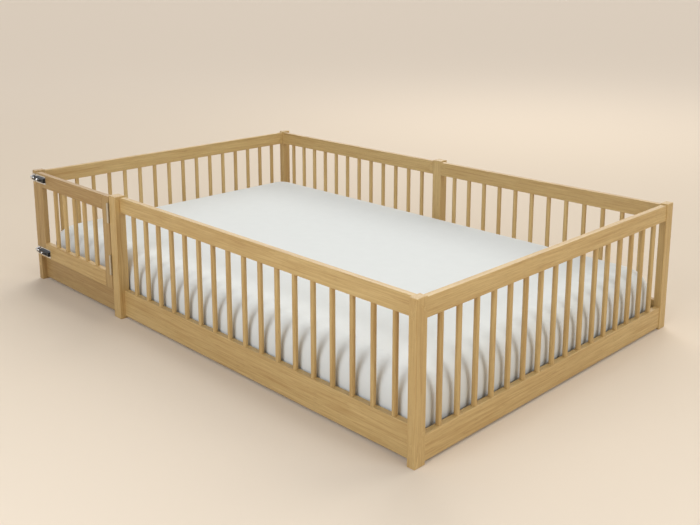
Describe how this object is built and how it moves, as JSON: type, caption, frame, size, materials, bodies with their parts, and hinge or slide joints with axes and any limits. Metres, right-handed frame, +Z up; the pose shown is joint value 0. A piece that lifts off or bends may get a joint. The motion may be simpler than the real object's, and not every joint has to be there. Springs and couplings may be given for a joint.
{
  "type": "toddler floor bed",
  "caption": "Low railed floor bed of wood with round dowels, a hinged entry gate with slide bolts, a slatted base and a mattress.",
  "frame": {"origin": "on the floor under the middle of the rectangle of the four corner posts, at the underside of the middle foot", "axes": "+X along the bed's long side towards the end away from the gate, +Y from the gate side to the back, +Z up"},
  "size_m": [2.0024, 1.3238, 0.444],
  "materials": {
    "oiled_wood": "honey-coloured solid wood boards and posts, sanded and oiled",
    "dowel_wood": "turned and oiled round dowels",
    "turned_wood": "small turned wooden pins and cover caps",
    "planed_pine": "plain planed slats and bearers, unfinished",
    "white_cotton_sheet": "fitted white woven cotton cover over a foam mattress",
    "chromed_steel": "bright plated pressed steel",
    "satin_nickel_steel": "satin nickel-plated steel",
    "black_plastic": "moulded black plastic with a light gloss",
    "zinc_plated_steel": "bright zinc-plated steel"
  },
  "bodies": {
    "frame": {"back_bearer": "planed_pine", "back_left_bottom_rail": "oiled_wood", "back_left_dowels": "dowel_wood", "back_left_post": "oiled_wood", "back_left_top_rail": "oiled_wood", "back_middle_post": "oiled_wood", "back_right_bottom_rail": "oiled_wood", "back_right_dowels": "dowel_wood", "back_right_post": "oiled_wood", "back_right_top_rail": "oiled_wood", "barrel_nuts": "zinc_plated_steel", "beam_feet": "planed_pine", "bearer_screws": "zinc_plated_steel", "bed_slats": "planed_pine", "bolt_caps": "turned_wood", "connector_bolts": "zinc_plated_steel", "front_bearer": "planed_pine", "front_bottom_rail": "oiled_wood", "front_dowels": "dowel_wood", "front_left_post": "oiled_wood", "front_right_post": "oiled_wood", "front_top_rail": "oiled_wood", "gate_post": "oiled_wood", "gate_threshold": "oiled_wood", "hinge_pins": "satin_nickel_steel", "hinge_post_screws": "zinc_plated_steel", "keeper_screws": "chromed_steel", "left_bottom_rail": "oiled_wood", "left_dowels": "dowel_wood", "left_top_rail": "oiled_wood", "locating_pins": "turned_wood", "lower_bolt_keeper": "chromed_steel", "lower_hinge_post_leaf": "satin_nickel_steel", "mattress": "white_cotton_sheet", "middle_beam": "planed_pine", "right_bottom_rail": "oiled_wood", "right_dowels": "dowel_wood", "right_top_rail": "oiled_wood", "slat_screws": "zinc_plated_steel", "through_studs": "zinc_plated_steel", "upper_bolt_keeper": "chromed_steel", "upper_hinge_post_leaf": "satin_nickel_steel"},
    "gate": {"gate_bottom_rail": "oiled_wood", "gate_dowels": "dowel_wood", "gate_joint_pins": "turned_wood", "gate_left_stile": "oiled_wood", "gate_right_stile": "oiled_wood", "gate_top_rail": "oiled_wood", "hinge_gate_screws": "zinc_plated_steel", "latch_screws": "chromed_steel", "lower_bolt_housing": "black_plastic", "lower_bolt_plate": "chromed_steel", "lower_hinge_gate_leaf": "satin_nickel_steel", "upper_bolt_housing": "black_plastic", "upper_bolt_plate": "chromed_steel", "upper_hinge_gate_leaf": "satin_nickel_steel"},
    "upper_bolt": {"upper_bolt_rod": "chromed_steel", "upper_bolt_knob": "chromed_steel"},
    "lower_bolt": {"lower_bolt_rod": "chromed_steel", "lower_bolt_knob": "chromed_steel"}
  },
  "joints": [
    {"name": "gate_hinge", "type": "hinge", "parent": "frame", "child": "gate", "pos_m": [-0.4215, -0.6572, 0.285], "axis": [0, 0, 1], "range_deg": [0, 180]},
    {"name": "upper_bolt_slide", "type": "slide", "parent": "gate", "child": "upper_bolt", "axis": [1, 0, 0], "range_m": [0, 0.0315]},
    {"name": "lower_bolt_slide", "type": "slide", "parent": "gate", "child": "lower_bolt", "axis": [1, 0, 0], "range_m": [0, 0.0315]}
  ]
}
